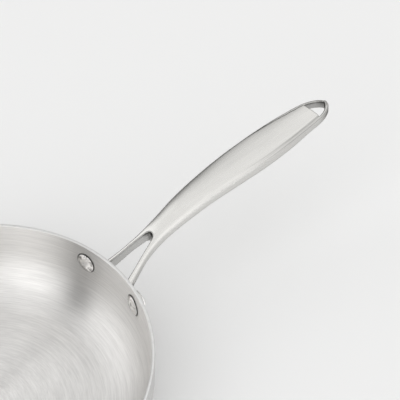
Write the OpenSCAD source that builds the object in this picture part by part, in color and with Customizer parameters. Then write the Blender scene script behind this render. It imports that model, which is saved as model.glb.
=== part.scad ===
// Frying pan of three bonded metal sheets with a cast forked handle and two rivets.
// The origin is on the pan's axis at the underside of its base. The handle runs along +X.

/* [Pan] */
// Outer diameter at the rim
rim_d = 240; // [200:1:320]
// Height from the base's underside to the rim
pan_h = 52; // [44:1:70]
// Inner radius of the bend between base and wall
corner_r = 34; // [20:1:36]
// Lean of the wall away from upright, in degrees
wall_lean = 4.5; // [3:0.5:8]

/* [Sheet] */
// Thickness of the inner steel sheet, the cooking face
inner_steel_t = 0.4; // [0.3:0.05:0.6]
// Thickness of the aluminium sheet between the steel ones
core_t = 1.4; // [1:0.1:2]
// Thickness of the outer steel sheet
outer_steel_t = 0.4; // [0.35:0.05:0.6]
// Bevel that breaks the two edges of the cut rim
rim_ease = 0.25; // [0.1:0.05:0.3]

/* [Rivets] */
// Distance between the two rivets, centre to centre
rivet_spacing = 51; // [44:1:60]
// Depth of the rivets' centres below the rim
rivet_drop = 13; // [11:0.5:16]
// Diameter of the rivet head inside the pan
head_d = 14; // [11:0.5:15]
// Height of the rivet head's dome above the wall
head_h = 2.4; // [1.5:0.1:3]
// Height of the straight edge round the head
head_edge = 0.6; // [0.3:0.1:1]
// Diameter of the rivet's shank
shank_d = 6.4; // [5:0.1:8]
// Diameter of the formed end outside the handle's foot
tail_d = 10; // [9:0.5:13]
// Height of the formed end above the handle's foot
tail_h = 2.8; // [1.5:0.1:4]
// Height of the straight edge round the formed end
tail_edge = 0.8; // [0.2:0.1:1.2]
// Radial clearance between the shank and its holes
shank_clearance = 0.05; // [0.02:0.01:0.2]

/* [Handle foot] */
// Thickness of the foot where it lies on the wall
foot_t = 3.5; // [3:0.1:5]
// Radius of the foot's round ends about the rivets
foot_end_r = 7; // [6:0.5:9]
// Depth of the foot's upper edge below the rim, between its ends
foot_top_drop = 9; // [8:0.5:11]
// Height of the foot between its ends
foot_h = 11; // [9:0.5:13]

/* [Handle bar] */
// Reach of the handle beyond the rim
handle_reach = 190; // [150:1:240]
// Height of the loop's upper face above the rim
handle_rise = 30; // [15:1:45]
// Greatest width of the grip
grip_w = 27; // [22:0.5:32]
// Thickness of the grip at its sides
grip_t = 7.2; // [5.5:0.1:9]
// Height of the grip's crown over its side edges
crown_h = 1.8; // [0.5:0.1:3]
// Width of the ledge beside the crown at the loop
ledge_w = 1.2; // [0.8:0.1:2]
// Height of the step from the ledge up to the crown
ledge_h = 1; // [0.4:0.1:1.4]
// Greatest rounding of the bar's upper edges, in the first half of the grip
top_round = 3; // [1.5:0.1:3.4]
// Greatest rounding of the bar's lower edges
under_round = 1.8; // [0.8:0.1:2.2]
// Height of the belly along the middle of the bar's underside
belly_h = 1.2; // [0:0.1:1.6]

/* [Fork] */
// Distance from the rim to the centre of the fork's round end
crotch_reach = 27.6; // [24:0.2:32]
// Radius of the fork's round end
crotch_r = 3.7; // [3:0.1:4.2]
// Angle at which each side of the gap opens towards the pan
fork_flare = 14; // [12:0.5:14]

/* [Hanging loop] */
// Length of the rounded end of the handle
end_l = 17.5; // [14:0.5:22]
// Distance from the loop hole's straight side to the handle's end
hole_reach = 14.8; // [12:0.1:17]
// Width of the metal at the loop's tip
tip_w = 2.2; // [1.6:0.1:3]
// Width of the hole at its straight side
hole_w = 16; // [12:0.2:16.4]
// Fullness of the hole's far end, from tapering to a plain half ellipse
hole_fullness = 1.5; // [1.4:0.1:2]

/* [Hidden] */
$fn = 96;
// Overrun that takes each cut clear of the faces it passes
over = 2;
// Steps in the bend's outline, in the bar's length and round its end
bend_steps = 18;
bar_steps = 42;
end_steps = 10;
// Share of a quarter turn at which the rounded end stops, as a narrow flat
end_turn_share = 0.94;
// Share of a radius left outside a corner's middle point
corner_share = 1 - cos(45);
// Points across each half of the crown and of the belly
crown_points = 4;
// Largest part of the half width that one offset of the section may take
offset_share = 0.22;

rim_r = rim_d / 2;
wall_t = inner_steel_t + core_t + outer_steel_t;
bend_r = corner_r + wall_t;
bend_angle = 90 - wall_lean;
bend_top = bend_r * (1 - sin(wall_lean));
flat_r = rim_r - bend_r * cos(wall_lean) - (pan_h - bend_top) * tan(wall_lean);
rivet_z = pan_h - rivet_drop;
rivet_turn = asin(rivet_spacing / 2 / wall_r(wall_t, rivet_z));
end_start = handle_reach - end_l;

// Bar of the handle: share of the reach, then shares of half the grip's width, of the rise, of
// the grip's thickness, of the crown, of the ledge and of the lower and upper edges' rounding
bar_shares = [
    [-0.035, 1.140, -0.349, 1.02, 0.10, 0.10, 0.50, 0.60],
    [0.025, 0.945, -0.184, 0.99, 0.10, 0.10, 0.50, 0.60],
    [0.063, 0.795, -0.059, 0.94, 0.10, 0.10, 0.50, 0.60],
    [0.100, 0.672, 0.071, 0.89, 0.12, 0.10, 0.50, 0.60],
    [0.139, 0.597, 0.187, 0.91, 0.30, 0.10, 0.55, 0.60],
    [0.180, 0.580, 0.299, 0.92, 0.75, 0.10, 0.60, 0.60],
    [0.225, 0.625, 0.404, 0.90, 0.95, 0.10, 0.75, 0.70],
    [0.300, 0.737, 0.564, 0.95, 1.12, 0.10, 1.00, 0.85],
    [0.400, 0.841, 0.713, 1.01, 1.10, 0.12, 1.00, 1.00],
    [0.520, 0.944, 0.813, 1.09, 0.85, 0.20, 1.00, 0.86],
    [0.645, 1.000, 0.875, 1.09, 0.65, 0.45, 1.00, 0.60],
    [0.760, 0.960, 0.928, 1.00, 0.52, 0.75, 0.95, 0.38],
    [0.860, 0.855, 0.971, 0.80, 0.35, 1.00, 0.80, 0.30],
    [0.915, 0.772, 0.988, 0.75, 0.20, 1.00, 0.55, 0.30],
    [0.960, 0.704, 0.996, 0.73, 0.06, 1.00, 0.45, 0.30],
    [1.000, 0.645, 1.003, 0.71, 0.04, 1.00, 0.45, 0.30]
];

// Radius of the straight wall at a height, at a depth below its outer skin
function wall_r(depth, z) = rim_r - (pan_h - z) * tan(wall_lean) - depth / cos(wall_lean);

// Outline of base and bend at a depth below the outer skin, from the axis to the straight wall
function bend_line(depth) = concat(
    [[0, depth]],
    [for (i = [0:bend_steps]) let (a = bend_angle * i / bend_steps)
        [flat_r + (bend_r - depth) * sin(a), bend_r - (bend_r - depth) * cos(a)]]
);

function reversed(list) = [for (i = [len(list) - 1:-1:0]) list[i]];

// One sheet of the wall between two depths, with each of its rim edges eased or left square
module sheet(depth_out, depth_in, ease_out = 0, ease_in = 0) {
    rim_edge = [
        [wall_r(depth_out, pan_h - ease_out), pan_h - ease_out],
        if (ease_out > 0) [wall_r(depth_out, pan_h) - ease_out, pan_h],
        if (ease_in > 0) [wall_r(depth_in, pan_h) + ease_in, pan_h],
        [wall_r(depth_in, pan_h - ease_in), pan_h - ease_in]
    ];
    difference() {
        rotate_extrude($fn = 180)
            polygon(concat(bend_line(depth_out), rim_edge, reversed(bend_line(depth_in))));
        for (side = [-1, 1])
            at_rivet(side) translate([0, 0, -over])
                cylinder(d = shank_d + 2 * shank_clearance, h = wall_t + 2 * over);
    }
}

// Everything inside the wall's surface at a depth, carried on above the rim
module bowl(depth) {
    rotate_extrude($fn = 180)
        polygon(concat(bend_line(depth), [[wall_r(depth, pan_h + over), pan_h + over], [0, pan_h + over]]));
}

// Puts its children on a rivet's axis, with z = 0 on the cooking face and +Z out through the wall
module at_rivet(side) {
    rotate([0, 0, side * rivet_turn])
        translate([wall_r(wall_t, rivet_z), 0, rivet_z])
            rotate([0, 90 + wall_lean, 0])
                children();
}

// Low dome with a straight edge, rising along +Z from a base that reaches back by depth
module dome(d, h, edge, depth) {
    ball_r = (pow(d / 2, 2) + pow(h - edge, 2)) / (2 * (h - edge));
    intersection() {
        translate([0, 0, h - ball_r]) sphere(ball_r);
        translate([0, 0, -depth]) cylinder(d = d, h = depth + h);
    }
}

module rivet(side) {
    color("gainsboro") union() {
        intersection() {
            at_rivet(side) mirror([0, 0, 1]) dome(head_d, head_h, head_edge, over);
            bowl(wall_t);
        }
        difference() {
            at_rivet(side) translate([0, 0, wall_t + foot_t]) dome(tail_d, tail_h, tail_edge, over);
            bowl(-foot_t);
        }
        at_rivet(side) translate([0, 0, -head_edge])
            cylinder(d = shank_d, h = wall_t + foot_t + head_edge + tail_edge);
    }
}

module inner_steel_ply() {
    color("silver") sheet(wall_t - inner_steel_t, wall_t, ease_in = rim_ease);
}

module aluminium_core() {
    color("lightgray") sheet(outer_steel_t, wall_t - inner_steel_t);
}

module outer_steel_ply() {
    color("darkgray") sheet(0, outer_steel_t, ease_out = rim_ease);
}

// Stretch of a table of stations that holds a share, and the table's slope at a station
function stretch(table, s, i = 0) =
    (i >= len(table) - 2 || s < table[i + 1][0]) ? i : stretch(table, s, i + 1);
function slope(table, i, k) =
    let (a = max(i - 1, 0), b = min(i + 1, len(table) - 1))
    (table[b][k] - table[a][k]) / (table[b][0] - table[a][0]);

// Smooth value of a table's column at a share of its length
function along(table, s, k) =
    let (i = stretch(table, s), span = table[i + 1][0] - table[i][0], u = (s - table[i][0]) / span)
    table[i][k] * (1 + 2 * u) * pow(1 - u, 2) + slope(table, i, k) * span * u * pow(1 - u, 2)
    + table[i + 1][k] * u * u * (3 - 2 * u) + slope(table, i + 1, k) * span * u * u * (u - 1);

// Narrowing of the bar towards the round end, by an ellipse from 1 to 0
function end_narrowing(reach) = sqrt(1 - pow(max(0, reach - end_start) / end_l, 2));

function bar_half_w(reach) = grip_w / 2 * along(bar_shares, reach / handle_reach, 1) * end_narrowing(reach);
function bar_top(reach) = pan_h + handle_rise * along(bar_shares, reach / handle_reach, 2);

// Right half of the bar's section at a reach, from the middle of its underside to that of its crown
function half_section(reach) =
    let (
        s = reach / handle_reach,
        w = bar_half_w(reach),
        z = bar_top(reach),
        low = z - grip_t * along(bar_shares, s, 3),
        crown = crown_h * along(bar_shares, s, 4),
        step = min(ledge_h * along(bar_shares, s, 5), offset_share * w),
        ledge = min(ledge_w * along(bar_shares, s, 5), offset_share * w),
        top_r = min(top_round * along(bar_shares, s, 7), 2 * offset_share * w),
        low_r = min(under_round * along(bar_shares, s, 6), 2 * offset_share * w),
        belly = belly_h * along(bar_shares, s, 3) * end_narrowing(reach),
        foot_y = w - top_r - ledge,
        crown_y = foot_y - step
    )
    concat(
        [for (i = [0:crown_points - 1]) let (u = i / crown_points)
            [(w - low_r) * u, low - belly * (1 - u * u)]],
        [
            [w - low_r, low],
            [w - low_r * corner_share, low + low_r * corner_share],
            [w, low + low_r],
            [w, z - top_r],
            [w - top_r * corner_share, z - top_r * corner_share],
            [w - top_r, z],
            [foot_y, z],
            [foot_y - step * corner_share, z + step * (1 - corner_share)]
        ],
        [for (i = [crown_points:-1:0]) let (u = i / crown_points)
            [crown_y * u, z + step + crown * (1 - u * u)]]
    );

// Whole section as a ring of points at its place along the handle
function ring(reach) =
    let (half = half_section(reach), left = [for (i = [len(half) - 2:-1:1]) [-half[i][0], half[i][1]]])
    [for (p = concat(half, left)) [rim_r + reach, p[0], p[1]]];

// Solid swept through rings that have the same number of points
module loft(rings) {
    n = len(rings[0]);
    last = len(rings) - 1;
    polyhedron(
        points = [for (r = rings) each r],
        faces = concat(
            [[for (i = [0:n - 1]) i]],
            [for (k = [0:last - 1]) for (i = [0:n - 1]) let (j = (i + 1) % n, a = k * n, b = (k + 1) * n)
                each [[a + i, b + i, b + j], [a + i, b + j, a + j]]],
            [[for (i = [n - 1:-1:0]) last * n + i]]
        )
    );
}

module bar() {
    first = bar_shares[0][0] * handle_reach;
    straight = [for (i = [0:bar_steps]) first + (end_start - first) * i / bar_steps];
    rounded = [for (i = [1:end_steps]) end_start + end_l * sin(90 * end_turn_share * i / end_steps)];
    loft([for (reach = concat(straight, rounded)) ring(reach)]);
}

// Gap of the fork in plan, with straight sides that leave its round end smoothly
module fork_gap() {
    back = crotch_reach + bend_r;
    side_y = crotch_r * cos(fork_flare) + (back + crotch_r * sin(fork_flare)) * tan(fork_flare);
    translate([rim_r + crotch_reach, 0]) {
        circle(crotch_r);
        polygon([
            [crotch_r * sin(fork_flare), crotch_r * cos(fork_flare)],
            [-back, side_y],
            [-back, -side_y],
            [crotch_r * sin(fork_flare), -crotch_r * cos(fork_flare)]
        ]);
    }
}

// Hole of the hanging loop in plan: a straight side towards the pan and a tapering end beyond it
module loop_hole() {
    steps = 24;
    hole_l = hole_reach - tip_w;
    power = 2 / hole_fullness;
    translate([rim_r + handle_reach - hole_reach, 0])
        polygon([for (i = [0:steps]) let (a = 180 * i / steps - 90)
            [hole_l * pow(abs(cos(a)), power), hole_w / 2 * sign(a) * pow(abs(sin(a)), power)]]);
}

// Foot that hugs the wall: a bar with round ends, cut from a shell that follows the outer skin
module foot() {
    intersection() {
        difference() {
            bowl(-foot_t);
            bowl(0);
        }
        translate([rim_r / 2, 0, 0])
            rotate([90, 0, 90])
                linear_extrude(rim_r)
                    union() {
                        for (side = [-1, 1])
                            translate([side * rivet_spacing / 2, rivet_z]) circle(foot_end_r);
                        translate([-rivet_spacing / 2, pan_h - foot_top_drop - foot_h])
                            square([rivet_spacing, foot_h]);
                    }
    }
}

module handle() {
    color("lightslategray") difference() {
        union() {
            difference() {
                bar();
                linear_extrude(pan_h + 2 * handle_rise) {
                    fork_gap();
                    loop_hole();
                }
            }
            foot();
        }
        bowl(0);
        for (side = [-1, 1])
            at_rivet(side) cylinder(d = shank_d + 2 * shank_clearance, h = wall_t + foot_t + over);
    }
}

module rivet_left() {
    rivet(1);
}

module rivet_right() {
    rivet(-1);
}

inner_steel_ply();
aluminium_core();
outer_steel_ply();
handle();
rivet_left();
rivet_right();
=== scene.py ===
"""Looks of a stainless steel frying pan: bonded sheets, a cast forked handle and two rivets.

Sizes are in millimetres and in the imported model's frame: the origin is on the pan's axis at the
underside of its base, +X runs along the handle and +Z is up. Meshes are made in metres.
"""
import math

import bpy
import numpy as np
from mathutils import Matrix, Vector


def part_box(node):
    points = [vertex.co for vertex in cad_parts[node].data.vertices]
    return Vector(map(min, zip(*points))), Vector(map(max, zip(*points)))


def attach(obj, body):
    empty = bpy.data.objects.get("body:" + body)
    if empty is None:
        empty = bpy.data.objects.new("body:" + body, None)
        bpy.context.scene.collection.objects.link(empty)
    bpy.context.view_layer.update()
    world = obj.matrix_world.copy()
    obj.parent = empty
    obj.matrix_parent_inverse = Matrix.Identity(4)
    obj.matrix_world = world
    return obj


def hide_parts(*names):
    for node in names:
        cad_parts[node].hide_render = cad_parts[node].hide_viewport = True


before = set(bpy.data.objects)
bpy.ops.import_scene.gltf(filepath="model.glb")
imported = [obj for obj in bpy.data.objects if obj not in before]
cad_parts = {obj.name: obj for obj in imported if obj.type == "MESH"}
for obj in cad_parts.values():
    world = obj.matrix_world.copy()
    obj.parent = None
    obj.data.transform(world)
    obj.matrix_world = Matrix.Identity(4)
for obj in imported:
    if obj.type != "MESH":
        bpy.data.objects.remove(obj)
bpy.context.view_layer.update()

MM = 0.001
BODY = "root"

# Pan
RIM_R = 120.0
PAN_H = 52.0
CORNER_R = 34.0
LEAN = math.radians(4.5)
INNER_T = 0.4
CORE_T = 1.4
OUTER_T = 0.4
WALL_T = INNER_T + CORE_T + OUTER_T
RIM_EASE = 0.25
RIM_DOME = 0.14
BEND_R = CORNER_R + WALL_T
BEND_TOP = BEND_R * (1 - math.sin(LEAN))
FLAT_R = RIM_R - BEND_R * math.cos(LEAN) - (PAN_H - BEND_TOP) * math.tan(LEAN)

# Rivets
RIVET_SPACING = 51.0
RIVET_Z = PAN_H - 13.0
HEAD_R = 7.0
HEAD_H = 2.4
HEAD_EDGE = 0.6
HEAD_CORNER = 0.7
SHANK_R = 3.2
TAIL_R = 5.0
TAIL_H = 2.8
TAIL_EDGE = 0.8
TAIL_CORNER = 0.6
HOLE_R = SHANK_R + 0.05

# Handle foot
FOOT_T = 3.5
FOOT_END_R = 7.0
FOOT_TOP = PAN_H - 9.0
FOOT_H = 11.0
FOOT_ROUND = 1.0
FOOT_FILLET = 3.0
WALL_GAP = 0.03

# Handle bar
REACH = 190.0
RISE = 30.0
GRIP_W = 27.0
GRIP_T = 7.2
CROWN_H = 1.8
LEDGE_W = 1.2
LEDGE_H = 1.0
LEDGE_INSET = 0.9
TOP_ROUND = 3.0
UNDER_ROUND = 1.8
BELLY_H = 1.2
HOLE_ROUND = 0.4
GAP_ROUND = 0.35
END_L = 17.5
END_START = REACH - END_L
CROTCH_REACH = 27.6
CROTCH_R = 3.7
FLARE = math.radians(14.0)
LOOP_HOLE_REACH = 14.8
TIP_W = 2.2
LOOP_HOLE_W = 16.0
LOOP_HOLE_FULLNESS = 1.5
LOOP_HOLE_CORNER = 0.5
OFFSET_SHARE = 0.22

# Bar stations: share of the reach, then shares of half the grip's width, of the rise, of the
# grip's thickness, of the crown, of the ledge and of the lower and upper edges' rounding
BAR_SHARES = np.array([
    [-0.035, 1.140, -0.349, 1.02, 0.10, 0.10, 0.50, 0.60],
    [0.025, 0.945, -0.184, 0.99, 0.10, 0.10, 0.50, 0.60],
    [0.063, 0.795, -0.059, 0.94, 0.10, 0.10, 0.50, 0.60],
    [0.100, 0.672, 0.071, 0.89, 0.12, 0.10, 0.50, 0.60],
    [0.139, 0.597, 0.187, 0.91, 0.30, 0.10, 0.55, 0.60],
    [0.180, 0.580, 0.299, 0.92, 0.75, 0.10, 0.60, 0.60],
    [0.225, 0.625, 0.404, 0.90, 0.95, 0.10, 0.75, 0.70],
    [0.300, 0.737, 0.564, 0.95, 1.12, 0.10, 1.00, 0.85],
    [0.400, 0.841, 0.713, 1.01, 1.10, 0.12, 1.00, 1.00],
    [0.520, 0.944, 0.813, 1.09, 0.85, 0.20, 1.00, 0.86],
    [0.645, 1.000, 0.875, 1.09, 0.65, 0.45, 1.00, 0.60],
    [0.760, 0.960, 0.928, 1.00, 0.52, 0.75, 0.95, 0.38],
    [0.860, 0.855, 0.971, 0.80, 0.35, 1.00, 0.80, 0.30],
    [0.915, 0.772, 0.988, 0.75, 0.20, 1.00, 0.55, 0.30],
    [0.960, 0.704, 0.996, 0.73, 0.06, 1.00, 0.45, 0.30],
    [1.000, 0.645, 1.003, 0.71, 0.04, 1.00, 0.45, 0.30],
])

# Steps of the sheets round the axis, and along their base, bend, wall, eased rim and domed rim
SHEET_TURNS = 288
FLAT_STEPS = 10
BEND_STEPS = 32
WALL_STEPS = 8
RIM_STEPS = 6
DOME_STEPS = 8
# Height that a sheet's wall leaves free for its rim
RIM_H = 1.0

# Steps of a rivet round its axis, and along a dome's ball and its corner
RIVET_TURNS = 72
BALL_STEPS = 12
BALL_CORNER_STEPS = 6

# Least angle of an edge that stays sharp on a turned piece
SHARP_ANGLE = math.radians(40)

# Step of the bar's stations, and how far they go on before and beyond the bar
BAR_STEP = 0.25
BAR_BEFORE = 4
BAR_BEYOND = 6

# Handle's mesh: its cell, the room round the CAD node, and the steps that settle its points
NET_STEP = 0.5
NET_MARGIN = 2.0
SETTLING_STEPS = 4
# Most of a cell that a point moves in a step, and the least squared gradient that it is divided by
SETTLING_MOVE = 0.5
SETTLING_GRADIENT = 0.05
# Least length that a move is divided by
SHORTEST_MOVE = 1e-9
# Distances over which slopes are taken, of a field and of a height
FIELD_NUDGE = 0.02
HEIGHT_NUDGE = 0.05
# Least slope of a plan outline's level, as a share of one over its half width
LEVEL_SLOPE = 0.5
# Numbers that keep a division or a root from nought
TINY = 1e-6
SMALL = 1e-3


# Camera

# Direction and distance from the target, in radians and metres
CAMERA_AZIMUTH = -2.2252
CAMERA_ELEVATION = 0.7664
CAMERA_ROLL = -0.0664
CAMERA_DISTANCE = 0.8852
CAMERA_TARGET = (0.2001, 0.00894, 0.052)
# Focal length and sensor in millimetres, and the clipping distances in metres
LENS = 117
SENSOR_W = 36
CLIP_START = 0.05
CLIP_END = 20


def make_camera():
    """Camera at the photograph's viewing angle."""
    azimuth, elevation, roll = CAMERA_AZIMUTH, CAMERA_ELEVATION, CAMERA_ROLL
    back = Vector((
        math.cos(elevation) * math.cos(azimuth),
        math.cos(elevation) * math.sin(azimuth),
        math.sin(elevation),
    ))
    right = Vector((0, 0, 1)).cross(back).normalized()
    up = back.cross(right)
    turned_right = right * math.cos(roll) + up * math.sin(roll)
    turned_up = up * math.cos(roll) - right * math.sin(roll)
    axes = Matrix((turned_right, turned_up, back)).transposed().to_4x4()
    data = bpy.data.cameras.new("camera")
    data.lens = LENS
    data.sensor_width = SENSOR_W
    data.clip_start, data.clip_end = CLIP_START, CLIP_END
    camera = bpy.data.objects.new("camera", data)
    camera.matrix_world = Matrix.Translation(Vector(CAMERA_TARGET) + back * CAMERA_DISTANCE) @ axes
    bpy.context.scene.collection.objects.link(camera)
    bpy.context.scene.camera = camera


# Looks

# Colours of the metals
COOKING_FACE = (0.88, 0.868, 0.85)
OUTSIDE = (0.80, 0.795, 0.785)
CORE = (0.83, 0.83, 0.82)
RIVET = (0.97, 0.955, 0.94)
# Painted shade on the edge of the rivet heads
RIVET_EDGE_SHADE = (0.08, 0.08, 0.08)
HANDLE_FACE = (0.828, 0.818, 0.79)
# Handle's side walls and walls of gap and hole: cast skin with painted shade; pocket: painted shade alone
HANDLE_SIDE = (0.75, 0.742, 0.722)
HANDLE_INNER = (0.60, 0.595, 0.585)
HANDLE_POCKET_SHADE = (0.10, 0.10, 0.095)

# Noises, as a scale per metre and a detail: strokes of the brushing, and what turns them
FINE_STROKES = (2600.0, 3.0)
BROAD_STROKES = (700.0, 4.0)
TURNING = (420.0, 4.0)
# The handle's grain and its broader clouds, and the rivets' and the core's cloudiness and dents
CAST_GRAIN = (900.0, 4.0)
CAST_CLOUDS = (260.0, 2.0)
CLOUDS = (700.0, 4.0)
DENTS = (240.0, 1.5)
# Shares of the broader noise
BROAD_SHARE = 0.55
CAST_CLOUDS_SHARE = 0.6
# Stretch of the noises round the pan's axis, in metres for each radian, and along the handle
ROUND_STRETCH = 0.004
ALONG_STRETCH = (0.03, 1.0, 1.0)

# Span of a noise over which the colour goes from dark to full, of the grain and of the dents
GRAIN_SPAN = (0.36, 0.64)
DENT_SPAN = (0.36, 0.48)
# Span over which the roughness falls, and how far it swings for brushed and for polished metal
GLOSS_SPAN = (0.3, 0.7)
BRUSHED_SWING = 0.05
POLISHED_SWING = 0.04

# Part of a full turn from a brushed surface's tangent to the direction in which it spreads light, and
# how far the brushing turns from stroke to stroke
ACROSS_BRUSHING = 0.25
STROKE_TURN = 0.2
# Strength of the brushing's bump and its depth in metres
STROKE_BUMP = 0.5
SHEET_SCRATCH = 0.00002
CAST_SCRATCH = 0.000006
# Depth of the dents in metres
CORE_DENT = 0.00005
RIVET_DENT = 0.0012
# Tints of the metals where they are seen at a grazing angle
SHEET_TINT = (0.75, 0.75, 0.75, 1)
CAST_TINT = (0.05, 0.05, 0.05, 1)

# Share of the pocket's painted shade across the ledge, from its outer edge to the crown: a dark line at
# each
LEDGE_SHADE = [
    (0.0, 0.05), (0.1, 0.55), (0.22, 0.22), (0.55, 0.26), (0.72, 0.45), (0.85, 0.25), (1.0, 0.0),
]
# Width of the painted shade on the edge of each rivet head in millimetres
HEAD_LINE_W = 0.25
# Painted contact shadow on the wall round each rivet head, by the distance from the head in millimetres
RIVET_LINE = [(0.0, 0.8), (0.35, 0.8), (0.8, 0.0)]
RING_SHADE_COLOUR = (0.12, 0.12, 0.11)
# Share of the pocket's painted shade in a line beside the gap and the hole, over RIM_LINE_W millimetres
RIM_LINE_W = 1.6
RIM_LINE = [(0.0, 0.2), (0.1, 0.55), (0.35, 0.55), (0.55, 0.0)]
# Share of the pocket's painted shade where a leg meets the pan, and how far it reaches in millimetres
SEAM_SHADE = 0.5
SEAM_W = 0.8
# Share of the brushed face's colour on the handle, by how level the surface lies: steeper parts take the
# side colour, which is partly cast skin and partly painted shade
FACE_ZONE = [(0.25, 0.0), (0.6, 1.0)]


# Node helpers

def add(tree, kind, inputs=None, **settings):
    """New node of a kind, with settings and input values; a value that is a socket is linked."""
    made = tree.nodes.new("ShaderNode" + kind)
    for name, value in settings.items():
        setattr(made, name, value)
    for name, value in (inputs or {}).items():
        if isinstance(value, bpy.types.NodeSocket):
            tree.links.new(value, made.inputs[name])
        else:
            made.inputs[name].default_value = value
    return made


def math_node(tree, operation, *values):
    return add(tree, "Math", dict(enumerate(values)), operation=operation).outputs[0]


def rest_of(tree, share):
    """What is left of 1 beside a share."""
    return math_node(tree, "SUBTRACT", 1.0, share)


def texture_place(tree, kind="Object"):
    return add(tree, "TexCoord").outputs[kind]


def mark(tree, name):
    """Value that the mesh carries under a name, or 0 where it has none."""
    return add(tree, "Attribute", attribute_name=name).outputs["Fac"]


def mixed(tree, share, first, second):
    """Colour between two, each a colour or a socket, by the share of the second."""
    colours = [c if isinstance(c, bpy.types.NodeSocket) else (*c, 1) for c in (first, second)]
    return add(tree, "MixRGB", {"Fac": share, "Color1": colours[0], "Color2": colours[1]}).outputs[0]


def ramp(tree, factor, stops):
    """Colour ramp from (position, grey or colour) stops."""
    made = add(tree, "ValToRGB", {"Fac": factor})
    elements = made.color_ramp.elements
    while len(elements) < len(stops):
        elements.new(0.5)
    for element, (position, value) in zip(elements, stops):
        element.position = position
        element.color = (*value, 1) if isinstance(value, tuple) else (value, value, value, 1)
    return made.outputs["Color"]


def new_material(name):
    material = bpy.data.materials.new(name)
    material.use_nodes = True
    tree = material.node_tree
    tree.nodes.clear()
    return material, tree


def finish_material(tree, shader):
    add(tree, "OutputMaterial", {"Surface": shader.outputs[0]})


# Materials

def polar_coordinates(tree, turn_scale):
    """Coordinates that stretch a texture round the pan's axis: travel along the profile, and turn."""
    parts = add(tree, "SeparateXYZ", {0: texture_place(tree)}).outputs
    squares = [math_node(tree, "MULTIPLY", part, part) for part in parts[:2]]
    travel = math_node(tree, "ADD", math_node(tree, "SQRT", math_node(tree, "ADD", *squares)), parts[2])
    turn = math_node(tree, "ARCTAN2", parts[1], parts[0])
    return add(tree, "CombineXYZ", {0: travel, 1: math_node(tree, "MULTIPLY", turn, turn_scale)}).outputs[0]


def noise(tree, place, scale, detail):
    return add(tree, "TexNoise", {"Vector": place, "Scale": scale, "Detail": detail}).outputs["Fac"]


def blend_of(tree, first, second, share):
    """Sum of two values, each times its share, of which the second's is given."""
    scaled = [math_node(tree, "MULTIPLY", *pair) for pair in ((first, 1 - share), (second, share))]
    return math_node(tree, "ADD", *scaled)


def grained(tree, grain, colour, contrast, span=GRAIN_SPAN):
    """Colour that a noise darkens by its contrast where it is low."""
    dark = tuple(c * (1 - contrast) for c in colour)
    return ramp(tree, grain, [(span[0], dark), (span[1], colour)])


def wander(tree, tangent, turning, amount):
    """Brushing direction that turns a little from stroke to stroke."""
    across = add(
        tree, "VectorMath", {0: texture_place(tree, "Normal"), 1: tangent}, operation="CROSS_PRODUCT"
    ).outputs[0]
    turn = math_node(tree, "MULTIPLY", math_node(tree, "SUBTRACT", turning, 0.5), amount)
    lean = add(tree, "VectorMath", {0: across, "Scale": turn}, operation="SCALE").outputs[0]
    return add(tree, "VectorMath", {0: tangent, 1: lean}, operation="ADD").outputs[0]


def brushed(tree, place, tangent, colour, grazing, roughness, anisotropy, depth, contrast=None):
    """Shader of brushed steel: fine strokes, broader streaks and a direction that wanders. The strokes
    darken the colour where a contrast is given."""
    fine = noise(tree, place, *FINE_STROKES)
    broad = noise(tree, place, *BROAD_STROKES)
    grain = blend_of(tree, fine, broad, BROAD_SHARE)
    if contrast:
        colour = grained(tree, grain, colour, contrast)
    gloss = ramp(tree, grain, [
        (GLOSS_SPAN[0], roughness + BRUSHED_SWING), (GLOSS_SPAN[1], roughness - BRUSHED_SWING),
    ])
    bump = add(tree, "Bump", {"Height": grain, "Strength": STROKE_BUMP, "Distance": depth})
    return add(tree, "BsdfPrincipled", {
        "Base Color": colour, "Metallic": 1.0, "Roughness": gloss, "Specular Tint": grazing,
        "Anisotropic": anisotropy, "Anisotropic Rotation": ACROSS_BRUSHING,
        "Tangent": wander(tree, tangent, noise(tree, place, *TURNING), STROKE_TURN),
        "Normal": bump.outputs[0],
    })


def rivet_ring_shade(tree):
    """Share of the painted contact shadow on the wall round each rivet head, with Y folded so that one
    serves both.
    """
    radius = wall_r(WALL_T, RIVET_Z)
    across = RIVET_SPACING / 2
    centre = (math.sqrt(radius ** 2 - across ** 2) * MM, across * MM, RIVET_Z * MM)
    x, y, z = add(tree, "SeparateXYZ", {0: texture_place(tree)}).outputs
    folded = add(tree, "CombineXYZ", {0: x, 1: math_node(tree, "ABSOLUTE", y), 2: z}).outputs[0]
    away = add(tree, "VectorMath", {0: folded, 1: centre}, operation="DISTANCE").outputs["Value"]
    beyond = math_node(tree, "DIVIDE", math_node(tree, "SUBTRACT", away, HEAD_R * MM), MM)
    return ramp(tree, beyond, RIVET_LINE)


def brushed_round(name, colour, roughness, anisotropy, contrast, ringed=False):
    """Steel brushed round the pan's axis, with a painted contact shadow round the rivet heads where it
    is ringed.
    """
    material, tree = new_material(name)
    tangent = add(tree, "Tangent", direction_type="RADIAL", axis="Z").outputs[0]
    place = polar_coordinates(tree, ROUND_STRETCH)
    shader = brushed(
        tree, place, tangent, colour, SHEET_TINT, roughness, anisotropy, SHEET_SCRATCH, contrast
    )
    if ringed:
        # Painted contact shadow: the steel's colour darkens round the rivet heads
        steel = shader.inputs["Base Color"].links[0].from_socket
        tree.links.new(mixed(tree, rivet_ring_shade(tree), steel, RING_SHADE_COLOUR), shader.inputs["Base Color"])
    finish_material(tree, shader)
    return material


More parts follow.
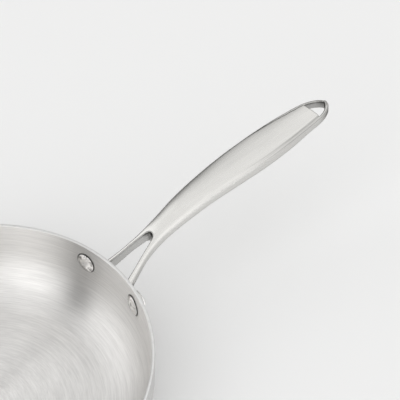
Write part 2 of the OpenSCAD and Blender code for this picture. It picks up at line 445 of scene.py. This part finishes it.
def brushed_along(name, colour, side_colour, inner_colour, pocket_shade_colour, roughness, anisotropy, contrast):
    """Steel brushed along the handle on its faces and darker on its side walls, which stay as cast and are
    darkened further by painted shade, with painted shade in gap and hole and in lines where the mesh marks
    a ledge, a rim or a seam."""
    material, tree = new_material(name)
    place = add(tree, "Mapping", {"Vector": texture_place(tree), "Scale": ALONG_STRETCH}).outputs[0]
    grain = blend_of(
        tree, noise(tree, place, *CAST_GRAIN), noise(tree, place, *CAST_CLOUDS), CAST_CLOUDS_SHARE
    )
    normal = add(tree, "SeparateXYZ", {0: texture_place(tree, "Normal")}).outputs
    # Where the surface tilts, the darker skin colour replaces the face's: cast skin, and painted shade on
    # rounded edges
    face = ramp(tree, math_node(tree, "ABSOLUTE", normal[2]), FACE_ZONE)
    # Cast skin, with painted shade on the walls of gap and hole, under their upper edges and in their
    # closed ends
    skin_and_shade_colour = ramp(
        tree, mark(tree, "cast"), [(0.0, side_colour), (0.5, inner_colour), (1.0, pocket_shade_colour)]
    )
    shade = mixed(tree, face, skin_and_shade_colour, grained(tree, grain, colour, contrast))
    # Painted shade in dark lines: across the ledge, beside gap and hole, and where a leg meets the pan
    dark = math_node(tree, "MULTIPLY", ramp(tree, mark(tree, "inset"), LEDGE_SHADE), mark(tree, "ledge"))
    for line in (
        math_node(tree, "MULTIPLY", ramp(tree, mark(tree, "rim_line"), RIM_LINE), face),
        math_node(tree, "MULTIPLY", mark(tree, "seam"), SEAM_SHADE),
    ):
        dark = math_node(tree, "MAXIMUM", dark, line)
    shade = mixed(tree, dark, shade, pocket_shade_colour)
    lengthwise = add(tree, "CombineXYZ", {0: 1.0, 1: 0.0, 2: 0.0}).outputs[0]
    finish_material(tree, brushed(
        tree, place, lengthwise, shade, CAST_TINT, roughness, anisotropy, CAST_SCRATCH
    ))
    return material


def polished(name, colour, roughness, mottling, dent_depth, edge_shade_colour=None):
    """Polished metal with dents and a faint cloudiness: painted shade where the mesh marks an edge, and
    without dents where it is marked even."""
    material, tree = new_material(name)
    place = texture_place(tree)
    clouds = noise(tree, place, *CLOUDS)
    dents = noise(tree, place, *DENTS)
    even = mark(tree, "even")
    shade = grained(tree, math_node(tree, "ADD", dents, even), colour, mottling, DENT_SPAN)
    if edge_shade_colour:
        shade = mixed(tree, mark(tree, "edge"), shade, edge_shade_colour)
    gloss = ramp(tree, clouds, [(GLOSS_SPAN[0], roughness + POLISHED_SWING), (GLOSS_SPAN[1], roughness)])
    bump = add(tree, "Bump", {"Height": dents, "Strength": rest_of(tree, even), "Distance": dent_depth})
    shader = add(tree, "BsdfPrincipled", {
        "Base Color": shade, "Metallic": 1.0, "Roughness": gloss, "Specular Tint": SHEET_TINT,
        "Normal": bump.outputs[0],
    })
    finish_material(tree, shader)
    return material


# Mesh helpers

def new_piece(name, verts, faces, material, slot, node, sharp_angle=None):
    """Mesh object from points in millimetres, which stands for a CAD node: smooth, but for edges sharper
    than an angle."""
    mesh = bpy.data.meshes.new(name)
    mesh.from_pydata([tuple(c * MM for c in v) for v in verts], [], faces)
    mesh.materials.append(material)
    mesh.polygons.foreach_set("use_smooth", [True] * len(mesh.polygons))
    mesh.update()
    if sharp_angle:
        mesh.set_sharp_from_angle(angle=sharp_angle)
    piece = bpy.data.objects.new(name, mesh)
    bpy.context.scene.collection.objects.link(piece)
    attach(piece, BODY)
    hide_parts(node)
    return piece


def set_mark(piece, title, values):
    """Gives a piece's points a value each, which its material reads under the title."""
    piece.data.attributes.new(title, "FLOAT", "POINT").data.foreach_set("value", values)


def turned(profile, turns, place=None):
    """Points and faces of a closed solid turned about Z from a profile that starts and ends on the axis.
    place(radius, turn, height) may move a point."""
    place = place or (lambda r, a, z: (r * math.cos(a), r * math.sin(a), z))
    ring_count = len(profile) - 2
    verts = [place(0, 0, profile[0][1])]
    for r, z in profile[1:-1]:
        verts += [place(r, 2 * math.pi * k / turns, z) for k in range(turns)]
    verts.append(place(0, 0, profile[-1][1]))
    last = len(verts) - 1
    faces = []
    for k in range(turns):
        j = (k + 1) % turns
        faces.append((0, 1 + j, 1 + k))
        for i in range(ring_count - 1):
            a, b = 1 + i * turns, 1 + (i + 1) * turns
            faces.append((a + k, a + j, b + j, b + k))
        end = 1 + (ring_count - 1) * turns
        faces.append((end + k, end + j, last))
    return verts, faces


# Pan sheets

def wall_r(depth, z):
    """Radius of the straight wall at a height, at a depth below its outer skin."""
    return RIM_R - (PAN_H - z) * math.tan(LEAN) - depth / math.cos(LEAN)


def skin(depth):
    """Profile of base, bend and wall at a depth below the outer skin, from the axis outwards."""
    flat = [(FLAT_R * k / FLAT_STEPS, depth) for k in range(FLAT_STEPS)]
    bend_angle = math.pi / 2 - LEAN
    bend = []
    for k in range(BEND_STEPS + 1):
        a = bend_angle * k / BEND_STEPS
        bend.append((FLAT_R + (BEND_R - depth) * math.sin(a), BEND_R - (BEND_R - depth) * math.cos(a)))
    top = bend[-1][1]
    heights = [top + (PAN_H - RIM_H - top) * k / WALL_STEPS for k in range(1, WALL_STEPS + 1)]
    return flat + bend + [(wall_r(depth, z), z) for z in heights]


def rim_corner(depth, towards_outside, ease):
    """Rim edge of a sheet's skin at a depth, as profile points from the wall up to the rim: rounded, or
    one point where nothing is eased."""
    if not ease:
        return [(wall_r(depth, PAN_H), PAN_H)]
    out = []
    for k in range(RIM_STEPS + 1):
        a = math.pi / 2 * k / RIM_STEPS
        drop = ease * (1 - math.sin(a))
        inset = ease * (1 - math.cos(a))
        z = PAN_H - drop
        out.append((wall_r(depth, z) + (-inset if towards_outside else inset), z))
    return out


def sheet_profile(depth_out, depth_in, ease_out, ease_in):
    """Profile of a sheet between two depths. Its cut edge is eased where it shows, and the core's, which
    isn't, is domed."""
    outer = skin(depth_out) + rim_corner(depth_out, True, ease_out)
    inner = skin(depth_in) + rim_corner(depth_in, False, ease_in)
    if ease_out or ease_in:
        return outer + inner[::-1]
    top = []
    for k in range(DOME_STEPS + 1):
        share = k / DOME_STEPS
        radius = outer[-1][0] * (1 - share) + inner[-1][0] * share
        top.append((radius, PAN_H - RIM_DOME * (2 * share - 1) ** 2))
    return outer[:-1] + top + inner[-2::-1]


def make_sheets(inside, core, outside):
    """The three bonded sheets, each with its depths and the easing of its outer and inner rim edge."""
    for name, node, material, slot, args in [
        ("pan_outer_sheet", "outer_steel_ply", outside, "outside", (0, OUTER_T, RIM_EASE, 0)),
        ("pan_core_sheet", "aluminium_core", core, "core", (OUTER_T, OUTER_T + CORE_T, 0, 0)),
        ("pan_inner_sheet", "inner_steel_ply", inside, "cooking_face",
         (WALL_T - INNER_T, WALL_T, 0, RIM_EASE)),
    ]:
        verts, faces = turned(sheet_profile(*args), SHEET_TURNS)
        new_piece(name, verts, faces, material, slot, node, SHARP_ANGLE)


# Rivets, turned

def rivet_frame(side):
    """Matrix with z = 0 on the cooking face and +Z out through the wall, in millimetres."""
    radius = wall_r(WALL_T, RIVET_Z)
    turn = side * math.asin(RIVET_SPACING / 2 / radius)
    return (
        Matrix.Rotation(turn, 4, "Z")
        @ Matrix.Translation((radius, 0, RIVET_Z))
        @ Matrix.Rotation(math.pi / 2 + LEAN, 4, "Y")
    )


def dome_profile(radius, height, edge, corner):
    """Profile of a low dome with a rounded straight edge, from its top on the axis down to its base."""
    ball = (radius ** 2 + (height - edge) ** 2) / (2 * (height - edge))
    inner = radius - corner
    radii = [inner * k / BALL_STEPS for k in range(BALL_STEPS + 1)]
    points = [(r, height - ball + math.sqrt(ball ** 2 - r ** 2)) for r in radii]
    start_z = points[-1][1]
    lean = math.asin(inner / ball)
    drop = min(corner, start_z)
    for k in range(1, BALL_CORNER_STEPS + 1):
        a = lean + (math.pi / 2 - lean) * k / BALL_CORNER_STEPS
        points.append((
            inner + corner * (math.sin(a) - math.sin(lean)) / (1 - math.sin(lean)),
            start_z - drop * (math.cos(lean) - math.cos(a)) / math.cos(lean),
        ))
    return points


def make_rivet(name, side, node, material):
    """Head, shank and formed end in one, with the undersides following the curved faces they lie on. The
    mesh marks the head's edge for its painted shade, and as even all that lies in the wall or beyond it."""
    far = WALL_T + FOOT_T
    head = [(r, -z) for r, z in dome_profile(HEAD_R, HEAD_H, HEAD_EDGE, HEAD_CORNER)]
    tail = [(r, far + z) for r, z in dome_profile(TAIL_R, TAIL_H, TAIL_EDGE, TAIL_CORNER)][::-1]
    profile = head + [(HEAD_R, 0), (SHANK_R, 0), (SHANK_R, far), (TAIL_R, far)] + tail
    face_radius = wall_r(WALL_T, RIVET_Z)
    to_world = rivet_frame(side)

    def place(r, a, z):
        """Local X points down the wall and Y round the pan, so only Y meets the wall's curve."""
        x, y = r * math.cos(a), r * math.sin(a)
        if z in (0, far) and r > 0:
            radius = face_radius + z
            z -= radius - math.sqrt(radius ** 2 - y ** 2)
        return tuple(to_world @ Vector((x, y, z)))

    verts, faces = turned(profile, RIVET_TURNS, place)
    piece = new_piece(name, verts, [f[::-1] for f in faces], material, "rivets", node, SHARP_ANGLE)
    for title, marks in (
        ("edge", [float(r > HEAD_R - HEAD_LINE_W and z <= 0) for r, z in profile]),
        ("even", [float(z > 0) for r, z in profile]),
    ):
        spread = marks[:1] + [v for v in marks[1:-1] for _ in range(RIVET_TURNS)] + marks[-1:]
        set_mark(piece, title, spread)


# Handle, as a field that is negative inside

def hermite(share, column):
    """Smooth value of a column of the bar's stations at a share of its reach."""
    at, value = BAR_SHARES[:, 0], BAR_SHARES[:, column]
    slopes = np.empty_like(value)
    slopes[1:-1] = (value[2:] - value[:-2]) / (at[2:] - at[:-2])
    slopes[0] = (value[1] - value[0]) / (at[1] - at[0])
    slopes[-1] = (value[-1] - value[-2]) / (at[-1] - at[-2])
    i = np.clip(np.searchsorted(at, share, side="right") - 1, 0, len(at) - 2)
    span = at[i + 1] - at[i]
    u = (share - at[i]) / span
    return (
        value[i] * (1 + 2 * u) * (1 - u) ** 2 + slopes[i] * span * u * (1 - u) ** 2
        + value[i + 1] * u * u * (3 - 2 * u) + slopes[i + 1] * span * u * u * (u - 1)
    )


def round_max(a, b, radius):
    """Overlap of two fields, with the edge where they meet rounded off."""
    corner = np.hypot(np.maximum(a + radius, 0), np.maximum(b + radius, 0)) - radius
    return np.where((a > -radius) & (b > -radius), corner, np.maximum(a, b))


def round_min(a, b, radius):
    """Union of two fields, with a fillet where they meet."""
    return -round_max(-a, -b, radius)


# The bar's values at close stations along the handle, in millimetres and a little past both ends
BAR_X = np.arange(BAR_SHARES[0, 0] * REACH - BAR_BEFORE, REACH + BAR_BEYOND, BAR_STEP)
BAR_AT = np.clip(BAR_X / REACH, BAR_SHARES[0, 0], BAR_SHARES[-1, 0])
BAR_W = GRIP_W / 2 * hermite(BAR_AT, 1)
BAR_W_SLOPE = np.gradient(BAR_W, BAR_X)
BAR_TOP = PAN_H + RISE * hermite(BAR_AT, 2)
BAR_T = GRIP_T * hermite(BAR_AT, 3)
BAR_CROWN = CROWN_H * hermite(BAR_AT, 4)
BAR_LEDGE = hermite(BAR_AT, 5)
BAR_UNDER = UNDER_ROUND * hermite(BAR_AT, 6)
BAR_UPPER = TOP_ROUND * hermite(BAR_AT, 7)


def end_narrowing(reach):
    """Share of the bar's width that is left in its elliptic end, from 1 to 0."""
    return np.sqrt(1 - np.clip((reach - END_START) / END_L, 0, 1) ** 2)


def outline_distance(reach, y):
    """Distance outside the bar's outline in plan, with its elliptic end."""
    w = np.interp(reach, BAR_X, BAR_W)
    w_slope = np.interp(reach, BAR_X, BAR_W_SLOPE)
    end = np.maximum(0, reach - END_START) / END_L
    level = np.maximum(np.sqrt((y / w) ** 2 + end ** 2), TINY)
    across = y / w ** 2 / level
    along = (-(y ** 2) * w_slope / w ** 3 + end / END_L) / level
    return (level - 1) / np.maximum(np.hypot(across, along), LEVEL_SLOPE / w)


def gap_distance(reach, y):
    """Distance outside the fork's gap in plan: a round end with straight sides that open to the pan."""
    x, y = reach - CROTCH_REACH, np.abs(y)
    ahead = x * math.cos(FLARE) - y * math.sin(FLARE) > 0
    return np.where(ahead, np.hypot(x, y), x * math.sin(FLARE) + y * math.cos(FLARE)) - CROTCH_R


def loop_hole_distance(reach, y):
    """Distance outside the loop's hole in plan: a straight side and a tapering end."""
    x = reach - (REACH - LOOP_HOLE_REACH)
    a, b, n = LOOP_HOLE_REACH - TIP_W, LOOP_HOLE_W / 2, LOOP_HOLE_FULLNESS
    u, v = np.maximum(np.abs(x) / a, TINY), np.maximum(np.abs(y) / b, TINY)
    level = (u ** n + v ** n) ** (1 / n)
    slope = np.hypot(u ** (n - 1) / a, v ** (n - 1) / b) * level ** (1 - n)
    return round_max((level - 1) / np.maximum(slope, LEVEL_SLOPE / a), -x, LOOP_HOLE_CORNER)


def bar_top(reach, y):
    """Height of the bar's upper face: side ledges, a step and the crown between them."""
    w = np.interp(reach, BAR_X, BAR_W) * end_narrowing(reach) + TINY
    share = np.interp(reach, BAR_X, BAR_LEDGE)
    step = np.minimum(LEDGE_H * share, OFFSET_SHARE * w)
    ledge = np.minimum(LEDGE_W * share, OFFSET_SHARE * w)
    foot = w - np.minimum(LEDGE_INSET * share, OFFSET_SHARE * w) - ledge
    rise = np.clip((foot - np.abs(y)) / np.maximum(step, SMALL), 0, 1)
    crown_y = np.maximum(foot - step, SMALL)
    crown = np.interp(reach, BAR_X, BAR_CROWN) * np.clip(1 - (y / crown_y) ** 2, 0, 1)
    return np.interp(reach, BAR_X, BAR_TOP) + step * rise * rise * (3 - 2 * rise) + crown


def bar_bottom(reach, y):
    """Height of the bar's underside, which has a belly along its middle."""
    narrowing = end_narrowing(reach)
    level_w = np.interp(reach, BAR_X, BAR_W) * narrowing - np.interp(reach, BAR_X, BAR_UNDER)
    thickness = np.interp(reach, BAR_X, BAR_T)
    belly = BELLY_H * thickness / GRIP_T * narrowing
    across = np.clip(y / np.maximum(level_w, SMALL), -1, 1)
    return np.interp(reach, BAR_X, BAR_TOP) - thickness - belly * (1 - across ** 2)


def wall_distance(x, y, z):
    """Distance outside the pan's outer skin."""
    r, up = np.hypot(x, y) - FLAT_R, z - BEND_R
    straight = r * math.cos(LEAN) - up * math.sin(LEAN)
    return np.where(r * math.sin(LEAN) + up * math.cos(LEAN) > 0, straight, np.hypot(r, up)) - BEND_R


def foot_outline(y, z):
    """Distance outside the foot's outline, seen along the handle: round ends joined by a bar."""
    side = np.abs(y) - RIVET_SPACING / 2
    ends = np.hypot(side, z - RIVET_Z) - FOOT_END_R
    middle = np.abs(z - (FOOT_TOP - FOOT_H / 2)) - FOOT_H / 2
    bar = np.where(side > 0, np.hypot(side, np.maximum(middle, 0)), middle)
    return round_min(ends, bar, FOOT_FILLET)


def steepness(height, reach, y):
    """Length along a face of given height for each unit of its plan, from its slopes both ways."""
    nudge = HEIGHT_NUDGE
    slope_x = (height(reach + nudge, y) - height(reach - nudge, y)) / (2 * nudge)
    slope_y = (height(reach, y + nudge) - height(reach, y - nudge)) / (2 * nudge)
    return np.sqrt(1 + slope_x ** 2 + slope_y ** 2)


def handle_field(x, y, z):
    """Signed distance to the handle, roughly: bar and foot less the gap, hole, wall and rivet holes."""
    reach = x - RIM_R
    side = outline_distance(reach, y)
    above = (z - bar_top(reach, y)) / steepness(bar_top, reach, y)
    below = (bar_bottom(reach, y) - z) / steepness(bar_bottom, reach, y)
    upper_round = np.interp(reach, BAR_X, BAR_UPPER)
    under_round = np.interp(reach, BAR_X, BAR_UNDER)
    bar = np.maximum(round_max(side, above, upper_round), round_max(side, below, under_round))
    bar = round_max(bar, -gap_distance(reach, y), GAP_ROUND)
    bar = round_max(bar, -loop_hole_distance(reach, y), HOLE_ROUND)
    wall = wall_distance(x, y, z)
    foot = round_max(foot_outline(y, z), wall - FOOT_T, FOOT_ROUND)
    body = np.maximum(round_min(bar, foot, FOOT_FILLET), WALL_GAP - wall)
    for direction in (-1, 1):
        local = np.array(rivet_frame(direction).inverted())
        across = local[0, 0] * x + local[0, 1] * y + local[0, 2] * z + local[0, 3]
        around = local[1, 0] * x + local[1, 1] * y + local[1, 2] * z + local[1, 3]
        body = np.maximum(body, HOLE_R - np.hypot(across, around))
    return body


def surface_net(field, lowest, highest, step):
    """Points and quads of the surface where a field is zero: a point in each cell that it crosses, moved
    onto it."""
    axes = [np.arange(a, b + step, step) for a, b in zip(lowest, highest)]
    x, y, z = np.meshgrid(*axes, indexing="ij", sparse=True)
    values = field(x, y, z)
    inside = values < 0
    cells = np.array(values.shape) - 1
    sums = np.zeros((int(np.prod(cells)), 3))
    counts = np.zeros(len(sums))
    quads = []
    for axis in range(3):
        b, c = (axis + 1) % 3, (axis + 2) % 3
        low = [slice(None)] * 3
        high = [slice(None)] * 3
        low[axis], high[axis] = slice(0, -1), slice(1, None)
        crossed = np.argwhere(inside[tuple(low)] != inside[tuple(high)])
        start = values[tuple(crossed.T)]
        beyond = crossed.copy()
        beyond[:, axis] += 1
        share = start / (start - values[tuple(beyond.T)])
        point = crossed.astype(float)
        point[:, axis] += share
        around = []
        for db, dc in ((-1, -1), (0, -1), (0, 0), (-1, 0)):
            cell = crossed.copy()
            cell[:, b] += db
            cell[:, c] += dc
            around.append(np.ravel_multi_index(tuple(np.clip(cell, 0, cells - 1).T), tuple(cells)))
        for index in around:
            np.add.at(sums, index, point)
            np.add.at(counts, index, 1)
        ring = np.stack(around, 1)
        quads.append(np.where((start < 0)[:, None], ring, ring[:, ::-1]))
    used = np.flatnonzero(counts)
    renumber = np.zeros(len(counts), int)
    renumber[used] = np.arange(len(used))
    points = np.array(lowest) + step * sums[used] / counts[used][:, None]
    nudge = FIELD_NUDGE
    for _ in range(SETTLING_STEPS):
        value = field(*points.T)
        gradient = np.stack([
            (field(*(points + nudge * unit).T) - field(*(points - nudge * unit).T)) / (2 * nudge)
            for unit in np.eye(3)
        ], 1)
        steep = np.maximum((gradient ** 2).sum(1), SETTLING_GRADIENT)
        move = -value[:, None] * gradient / steep[:, None]
        length = np.linalg.norm(move, axis=1)[:, None]
        points += move * np.minimum(1, SETTLING_MOVE * step / np.maximum(length, SHORTEST_MOVE))
    return points, renumber[np.concatenate(quads)]


# Marks of the handle, which its material reads: lengths are in millimetres

# Cast skin and painted shade near the gap and the hole: the distance at which they start, and over which
# they are complete
CAST_START = 1.2
CAST_FADE = 0.8
# Darkness of skin and painted shade on their walls, the painted shade that the upper edge adds, and how
# fast that fades with the depth
CAST_SHADE = 0.45
CAST_EDGE_SHADE = 0.35
CAST_EDGE_DEPTH = 0.8
# How much darker skin and painted shade are on the hole's walls than on the gap's
HOLE_DARKENING = 1.5
# Painted shade in the closed ends of both, which are darker still: over how far that comes in along the
# handle, from which distance before the bar's end it does so in the hole, and how fast it fades with the
# depth
CLOSED_FADE = 3
CLOSED_HOLE_L = 6
CLOSED_SHADE = 0.6
CLOSED_DEPTH = 2.5
# Share of the full ledge at which it is marked first, and over which the mark is complete
LEDGE_START = 0.15
LEDGE_SPAN = 0.6
# Depth below the bar's top at which the ledge's mark starts, and over which it is complete
LEDGE_DEPTH = 1.4
LEDGE_FADE = 0.4
# Stretch beside the hole's straight side that has no rim line
STRAIGHT_SIDE_L = 1.5


def near_share(distance):
    """Share of the cast skin and its painted shade at a distance from the edge of gap or hole."""
    return np.clip((CAST_START - distance) / CAST_FADE, 0, 1)


def skin_and_pocket_shade(reach, y, z):
    """How dark the cast skin and its painted shade are at a point: 0 away from gap and hole, about half on
    their walls, and, as painted shade, more at their upper edge and up to 1 in their closed ends."""
    gap, hole = gap_distance(reach, y), loop_hole_distance(reach, y)
    inner = near_share(np.minimum(gap, hole)) * np.where(hole < gap, HOLE_DARKENING, 1.0)
    closed = np.maximum(
        near_share(gap) * np.clip((reach - CROTCH_REACH) / CLOSED_FADE + 0.5, 0, 1),
        near_share(hole) * np.clip((reach - REACH + CLOSED_HOLE_L) / CLOSED_FADE, 0, 1),
    )
    below = np.maximum(bar_top(reach, y) - z, 0)
    wall_shade = CAST_SHADE + CAST_EDGE_SHADE * np.exp(-below / CAST_EDGE_DEPTH)
    return np.clip(inner * wall_shade + closed * CLOSED_SHADE * np.exp(-below / CLOSED_DEPTH), 0, 1)


def inset_share(reach, y):
    """Distance inside the bar's side, as a share of the ledge with its step and rounded edge."""
    w = np.interp(reach, BAR_X, BAR_W)
    return np.clip((w * end_narrowing(reach) - np.abs(y)) / (LEDGE_INSET + LEDGE_W + LEDGE_H), 0, 1)


def ledge_share(reach, z):
    """How fully the ledge is formed at a point of the bar's upper face, from 0 to 1."""
    share = np.clip((np.interp(reach, BAR_X, BAR_LEDGE) - LEDGE_START) / LEDGE_SPAN, 0, 1)
    return share * np.clip((z - np.interp(reach, BAR_X, BAR_TOP) + LEDGE_DEPTH) / LEDGE_FADE, 0, 1)


def rim_share(reach, y):
    """Distance from the edge of gap and hole as a share of the painted shade line's width, or 1 by the
    straight side.
    """
    beyond = reach > REACH - LOOP_HOLE_REACH + STRAIGHT_SIDE_L
    hole = np.where(beyond, loop_hole_distance(reach, y), RIM_LINE_W)
    return np.clip(np.minimum(gap_distance(reach, y), hole) / RIM_LINE_W, 0, 1)


def seam_share(x, y, z):
    """How close a point is to the pan's wall, from 0 to 1."""
    return np.clip(1 - wall_distance(x, y, z) / SEAM_W, 0, 1)


def make_handle(material):
    low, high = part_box("handle")
    points, quads = surface_net(
        handle_field,
        [c / MM - NET_MARGIN for c in low],
        [c / MM + NET_MARGIN for c in high],
        NET_STEP,
    )
    piece = new_piece("handle_casting", points.tolist(), quads.tolist(), material, "cast_handle", "handle")
    reach, y, z = points[:, 0] - RIM_R, points[:, 1], points[:, 2]
    # Cast skin with painted shade in gap and hole, then the masks of the painted shade lines
    set_mark(piece, "cast", skin_and_pocket_shade(reach, y, z))
    set_mark(piece, "inset", inset_share(reach, y))
    set_mark(piece, "ledge", ledge_share(reach, z))
    set_mark(piece, "rim_line", rim_share(reach, y))
    set_mark(piece, "seam", seam_share(*points.T))
    return piece


# Floor and surround

# Half the floor's side in metres, and its colour
FLOOR_HALF = 6.0
FLOOR_COLOUR = (0.92, 0.92, 0.915)

# Brightness of the surround by azimuth in degrees, and the level that 1 stands for in its ramp
SKY_PEAK = 2.6
SKY_TURN = [
    (0, 0.62), (30, 0.68), (45, 1.02), (60, 1.08), (75, 0.76), (90, 0.76), (105, 1.02), (120, 1.37),
    (135, 1.37), (149, 1.22), (159, 0.13), (167, 0.13), (176, 1.10), (185, 1.65), (195, 1.90), (203, 1.85),
    (214, 1.44), (225, 1.12), (240, 1.16), (270, 1.10), (300, 0.90), (330, 0.75), (360, 0.62),
]
# Part of a turn by which that pattern is twisted overhead, and the power of the sine of the elevation
# with which the twist grows
SKY_TWIST = 0.15
SKY_TWIST_POWER = 4.0
# Brightness overhead, and how much it rises towards +X and +Y
SKY_TOP = 0.96
SKY_TILT = (0.04, -0.15)
# Share of the pattern by azimuth against the brightness overhead, by the sine of the elevation
SKY_BAND = [(0.0, 1.0), (0.58, 1.0), (0.84, 0.0)]
# Two dim stretches, one at the horizon and one that reaches higher: what is left of the brightness by the
# sine of the elevation, and how fully each stretch counts by azimuth in degrees
SKY_HORIZON = [(0.0, 0.12), (0.12, 0.2), (0.3, 1.0)]
SKY_DIM = [(30, 0.0), (50, 1.0), (95, 1.0), (125, 0.6), (150, 0.0)]
SKY_WALL = [(0.0, 0.6), (0.14, 0.4), (0.26, 0.2), (0.4, 0.14), (0.57, 1.0)]
SKY_WALL_DIM = [(38, 0.0), (50, 1.0), (90, 1.0), (104, 0.0)]
# Grey that the camera sees beyond the floor, in place of the surround
BACKDROP = 0.88


def make_floor():
    mesh = bpy.data.meshes.new("floor")
    corners = [(x * FLOOR_HALF, y * FLOOR_HALF, 0) for x, y in ((-1, -1), (1, -1), (1, 1), (-1, 1))]
    mesh.from_pydata(corners, [], [(0, 1, 2, 3)])
    material, tree = new_material("pale_floor")
    finish_material(tree, add(tree, "BsdfPrincipled", {
        "Base Color": (*FLOOR_COLOUR, 1), "Roughness": 0.6, "Specular IOR Level": 0.2,
    }))
    mesh.materials.append(material)
    floor = bpy.data.objects.new("floor", mesh)
    bpy.context.scene.collection.objects.link(floor)


def azimuth_ramp(tree, turn, stops, peak=1.0):
    """Grey ramp over a full turn from (degrees, level) stops, as a share of a peak."""
    return ramp(tree, turn, [(degrees / 360, level / peak) for degrees, level in stops])


def weighed(tree, share, first, second):
    """Sum of two values, of which the first counts by a share and the second by the rest."""
    return math_node(
        tree, "ADD", math_node(tree, "MULTIPLY", first, share),
        math_node(tree, "MULTIPLY", rest_of(tree, share), second),
    )


def make_world():
    """Soft studio surround: bright behind the camera, with a dark stretch beside it and dim low parts."""
    world = bpy.data.worlds.new("studio")
    world.use_nodes = True
    tree = world.node_tree
    tree.nodes.clear()
    way = add(tree, "SeparateXYZ", {0: texture_place(tree, "Generated")}).outputs
    azimuth = math_node(tree, "ARCTAN2", way[1], way[0])
    twist = math_node(tree, "MULTIPLY", math_node(tree, "POWER", way[2], SKY_TWIST_POWER), SKY_TWIST)
    turn = math_node(
        tree, "FRACT", math_node(tree, "ADD", math_node(tree, "DIVIDE", azimuth, 2 * math.pi), twist)
    )
    side = math_node(tree, "MULTIPLY", azimuth_ramp(tree, turn, SKY_TURN, SKY_PEAK), SKY_PEAK)
    tilt = [math_node(tree, "MULTIPLY", part, amount) for part, amount in zip(way[:2], SKY_TILT)]
    top = math_node(tree, "ADD", math_node(tree, "ADD", *tilt), SKY_TOP)
    lit = weighed(tree, ramp(tree, way[2], SKY_BAND), side, top)
    for heights, sector in ((SKY_HORIZON, SKY_DIM), (SKY_WALL, SKY_WALL_DIM)):
        loss = math_node(
            tree, "MULTIPLY", azimuth_ramp(tree, turn, sector), rest_of(tree, ramp(tree, way[2], heights))
        )
        lit = math_node(tree, "MULTIPLY", lit, rest_of(tree, loss))
    strength = weighed(tree, add(tree, "LightPath").outputs["Is Camera Ray"], BACKDROP, lit)
    background = add(tree, "Background", {"Color": (1.0, 1.0, 1.0, 1), "Strength": strength})
    add(tree, "OutputWorld", {"Surface": background.outputs[0]})
    bpy.context.scene.world = world


bpy.context.scene.view_settings.view_transform = "Standard"
make_camera()
make_sheets(
    brushed_round(
        "cooking_face_steel", COOKING_FACE, roughness=0.34, anisotropy=1.0, contrast=0.15, ringed=True
    ),
    polished("core_aluminium", CORE, roughness=0.3, mottling=0.07, dent_depth=CORE_DENT),
    brushed_round("outside_steel", OUTSIDE, roughness=0.38, anisotropy=0.85, contrast=0.14),
)
rivet_steel = polished(
    "rivet_steel", RIVET, roughness=0.07, mottling=0.62, dent_depth=RIVET_DENT, edge_shade_colour=RIVET_EDGE_SHADE
)
make_rivet("rivet_left_polished", 1, "rivet_left", rivet_steel)
make_rivet("rivet_right_polished", -1, "rivet_right", rivet_steel)
make_handle(brushed_along(
    "handle_steel", HANDLE_FACE, HANDLE_SIDE, HANDLE_INNER, HANDLE_POCKET_SHADE,
    roughness=0.26, anisotropy=0.4, contrast=0.06,
))
make_floor()
make_world()
